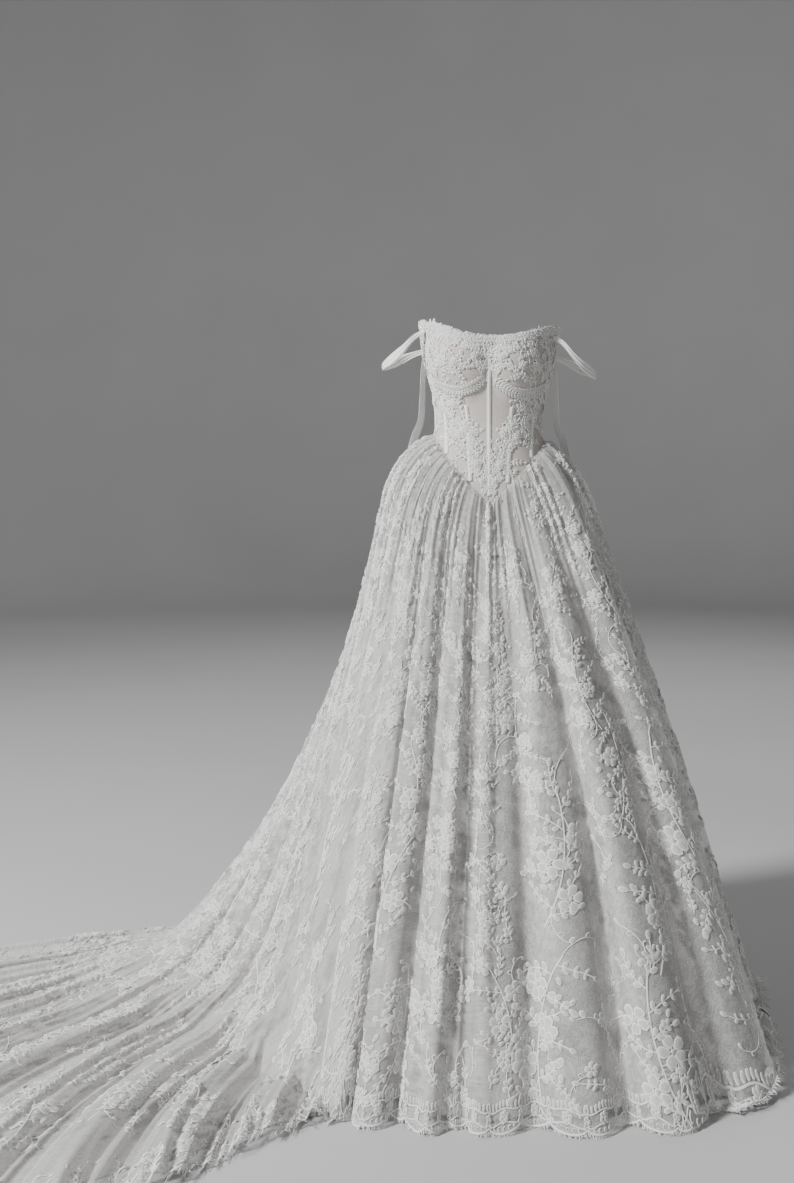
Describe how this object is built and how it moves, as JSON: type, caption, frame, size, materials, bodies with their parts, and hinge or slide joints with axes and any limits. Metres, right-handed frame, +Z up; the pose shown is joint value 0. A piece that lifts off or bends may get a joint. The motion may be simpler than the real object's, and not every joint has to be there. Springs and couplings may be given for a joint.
{
  "type": "wedding dress",
  "caption": "Off-the-shoulder wedding dress with a boned lace corset, a pointed waist, a gathered lace skirt over a plain underskirt and a long train.",
  "frame": {"origin": "centre of the wearer's natural waist, inside the dress, where the corset grips and holds the dress up", "axes": "+Z up the wearer's body, -Y out of the front of the dress, +X towards the wearer's left"},
  "size_m": [2.1641, 1.6581, 1.4383],
  "materials": {
    "corset_net": "fine boned net, matt",
    "satin": "satin, softly shiny",
    "lace": "floral lace on fine net, matt",
    "lining": "smooth plain cloth"
  },
  "bodies": {
    "root": {"back_panel_left": "corset_net", "back_panel_right": "corset_net", "casing_centre": "satin", "casing_inner_left": "satin", "casing_inner_right": "satin", "casing_outer_left": "satin", "casing_outer_right": "satin", "casing_side_left": "satin", "casing_side_right": "satin", "cup_left": "corset_net", "cup_right": "corset_net", "front_panel_left": "corset_net", "front_panel_right": "corset_net", "lace_neckline": "lace", "lace_underbust_left": "lace", "lace_underbust_right": "lace", "placket_back": "satin", "ribbon_left": "satin", "ribbon_right": "satin", "side_front_panel_left": "corset_net", "side_front_panel_right": "corset_net", "side_panel_left": "corset_net", "side_panel_right": "corset_net", "skirt_back_left": "lace", "skirt_back_right": "lace", "skirt_front_left": "lace", "skirt_front_right": "lace", "skirt_side_back_left": "lace", "skirt_side_back_right": "lace", "skirt_side_front_left": "lace", "skirt_side_front_right": "lace", "strap_left": "satin", "strap_right": "satin", "underskirt_back_left": "lining", "underskirt_back_right": "lining", "underskirt_front_left": "lining", "underskirt_front_right": "lining", "underskirt_side_back_left": "lining", "underskirt_side_back_right": "lining", "underskirt_side_front_left": "lining", "underskirt_side_front_right": "lining"}
  },
  "joints": []
}
